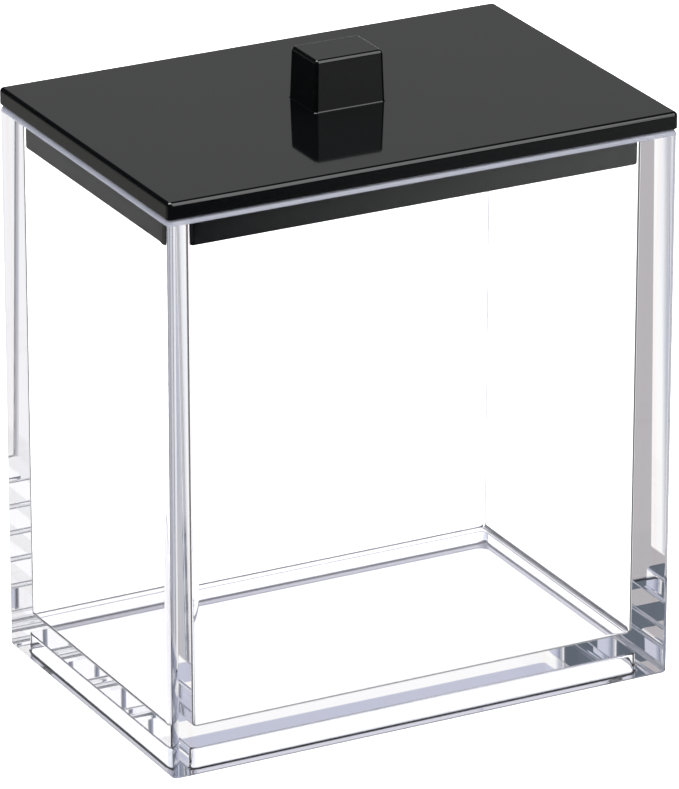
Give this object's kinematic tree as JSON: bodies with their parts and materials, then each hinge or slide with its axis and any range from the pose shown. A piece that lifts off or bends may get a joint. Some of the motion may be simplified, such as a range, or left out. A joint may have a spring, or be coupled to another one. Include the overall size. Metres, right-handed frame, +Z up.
{
  "type": "plastic apothecary canister",
  "caption": "Clear thick-walled rectangular storage canister with a flush black lift-off lid that has a small knob and a locating skirt.",
  "frame": {"origin": "centre of the foot ring, on the surface that the canister stands on", "axes": "+Z up through the knob, +X along the wide faces, -Y out of the front wide face"},
  "size_m": [0.094, 0.0636, 0.11],
  "materials": {
    "clear_plastic": "clear, polished, water-white with a faint cool tint in the thick edges",
    "black_plastic": "solid black, mirror gloss"
  },
  "bodies": {
    "canister": {"canister": "clear_plastic"},
    "lid": {"lid": "black_plastic"}
  },
  "joints": [
    {"name": "lid_lift", "type": "slide", "parent": "canister", "child": "lid", "axis": [0, 0, 1], "range_m": [0, 0.12]}
  ]
}
